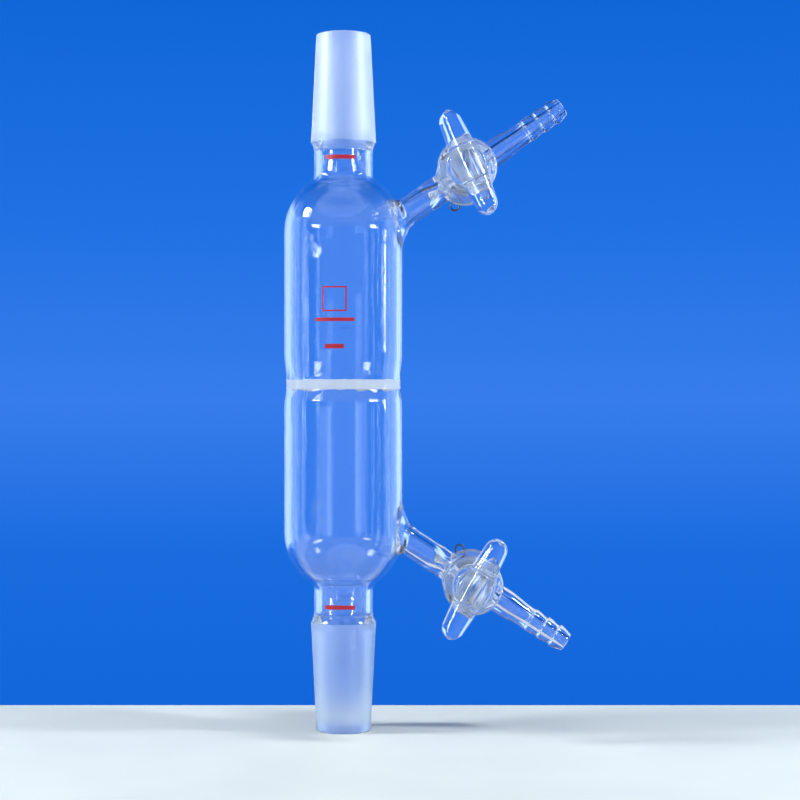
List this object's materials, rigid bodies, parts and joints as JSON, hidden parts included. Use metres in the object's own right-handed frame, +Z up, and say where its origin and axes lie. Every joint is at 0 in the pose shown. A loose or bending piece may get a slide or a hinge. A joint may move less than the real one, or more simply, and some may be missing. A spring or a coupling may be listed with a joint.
{
  "type": "fritted inert-gas filter tube",
  "caption": "Straight glass filter tube with a sintered disc, a ground taper joint at each end and side arms with glass stopcocks and hose connectors.",
  "frame": {"origin": "centre of the lower joint's end face, on the tube's axis", "axes": "+Z up the tube, from the lower joint to the upper joint; +X the side on which both side arms leave the tube; the stopcock keys lie along Y with their handles at -Y"},
  "size_m": [0.1058, 0.0591, 0.2564],
  "materials": {
    "clear_glass": "polished borosilicate",
    "ground_glass": "ground matt",
    "sintered_glass": "porous matt white",
    "ptfe": "smooth white",
    "rubber": "matt black",
    "spring_steel": "drawn wire"
  },
  "bodies": {
    "glass_body": {"lower_joint": "ground_glass", "lower_chamber": "clear_glass", "frit_disc": "sintered_glass", "upper_chamber": "clear_glass", "upper_joint": "ground_glass", "upper_side_arm": "clear_glass", "upper_stopcock_barrel": "clear_glass", "upper_hose_connector": "clear_glass", "lower_side_arm": "clear_glass", "lower_stopcock_barrel": "clear_glass", "lower_hose_connector": "clear_glass"},
    "upper_key": {"upper_stopcock_plug": "ground_glass", "upper_stopcock_handle": "clear_glass", "upper_washer": "ptfe", "upper_o_ring": "rubber", "upper_retaining_clip": "spring_steel"},
    "lower_key": {"lower_stopcock_plug": "ground_glass", "lower_stopcock_handle": "clear_glass", "lower_washer": "ptfe", "lower_o_ring": "rubber", "lower_retaining_clip": "spring_steel"}
  },
  "joints": [
    {"name": "upper_stopcock_turn", "type": "hinge", "parent": "glass_body", "child": "upper_key", "pos_m": [0.0451, 0, 0.2058], "axis": [0, -1, 0], "continuous": true},
    {"name": "lower_stopcock_turn", "type": "hinge", "parent": "glass_body", "child": "lower_key", "pos_m": [0.0473, 0, 0.0547], "axis": [0, -1, 0], "continuous": true}
  ]
}
